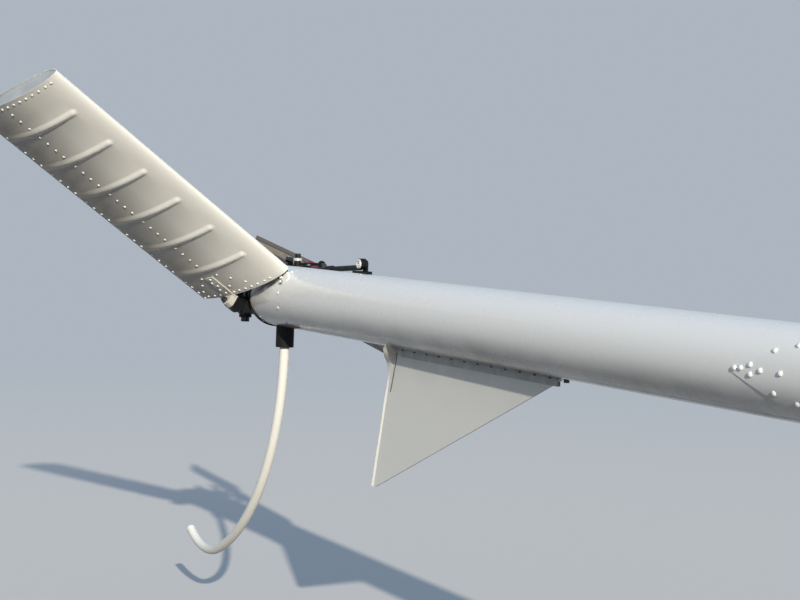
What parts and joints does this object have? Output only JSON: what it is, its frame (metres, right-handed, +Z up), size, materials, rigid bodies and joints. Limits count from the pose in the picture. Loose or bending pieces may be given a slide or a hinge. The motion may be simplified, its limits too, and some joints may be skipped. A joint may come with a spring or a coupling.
{
  "type": "helicopter tail boom with tail rotor, stabiliser, ventral fin and tail skid",
  "caption": "Tail boom of a light piston helicopter with a canted stabiliser, ventral fin, J-shaped tail skid and a teetering tail rotor driven through the boom.",
  "frame": {"origin": "centre of the front flange's forward face, on the boom's axis", "axes": "+X forward to the nose along the boom's axis, +Y to port, +Z up with the boom level"},
  "size_m": [4.7967, 1.3237, 1.7124],
  "materials": {
    "white_enamel": "glossy cool white enamel on sheet aluminium",
    "cream_enamel": "satin warm white enamel on sheet aluminium",
    "white_tube": "satin white enamel on steel tube",
    "machined_aluminium": "machined and clear anodised aluminium",
    "black_casting": "semi-gloss black paint on a casting",
    "grey_casting": "dark grey cast aluminium",
    "black_rubber": "moulded black rubber",
    "steel": "ground and plated steel",
    "black_plastic": "moulded black plastic cap",
    "dark_blade": "satin dark grey paint",
    "red_paint": "gloss red paint"
  },
  "bodies": {
    "boom": {"boom_tube": "white_enamel", "front_flange": "machined_aluminium", "aft_fitting": "black_casting", "centre_saddle": "white_enamel", "strut_fitting": "white_enamel", "skid_socket": "black_rubber", "tail_skid": "white_tube", "fin_skin": "white_enamel", "fin_web": "white_enamel", "fin_angle_port": "white_enamel", "fin_angle_starboard": "white_enamel", "fin_gussets": "white_enamel", "stabiliser_skin": "cream_enamel", "stabiliser_root_rib": "cream_enamel", "stabiliser_tip_rib": "cream_enamel", "stabiliser_front_strap": "cream_enamel", "stabiliser_spar_strap": "cream_enamel", "stabiliser_mount": "black_casting", "gearbox_housing": "black_casting", "gearbox_cover": "grey_casting", "output_housing": "grey_casting", "filler_cap": "black_plastic", "drain_plug": "black_plastic", "control_ring": "black_casting", "crank_pedestal": "grey_casting", "bellcrank": "machined_aluminium", "crank_cap": "black_plastic", "control_rod": "black_casting", "idler_bracket": "black_casting", "control_bolts": "steel"},
    "rotor_shaft": {"output_shaft": "steel", "hub_fork": "steel", "teeter_pin": "steel", "pitch_plate": "black_casting", "pitch_links": "black_casting"},
    "tail_rotor": {"hub_block": "grey_casting", "teeter_washers": "machined_aluminium", "blade_grips": "grey_casting", "blade_bolts": "steel", "blades": "dark_blade", "blade_tip_caps": "red_paint", "pitch_horns": "grey_casting"},
    "drive_line": {"drive_shaft": "steel", "drive_coupling": "steel"}
  },
  "joints": [
    {"name": "tail_rotor_spin", "type": "hinge", "parent": "boom", "child": "rotor_shaft", "pos_m": [-4.15, 0.225, 0], "axis": [0, 1, 0], "continuous": true},
    {"name": "rotor_teeter", "type": "hinge", "parent": "rotor_shaft", "child": "tail_rotor", "pos_m": [-4.15, 0.225, 0], "axis": [0.1495, 0, 0.9888], "range_deg": [-6, 6]},
    {"name": "drive_line_spin", "type": "hinge", "parent": "boom", "child": "drive_line", "pos_m": [-2, 0, 0], "axis": [1, 0, 0], "continuous": true}
  ],
  "couplings": [
    {"joint": "drive_line_spin", "follows": "tail_rotor_spin", "ratio": -1}
  ]
}
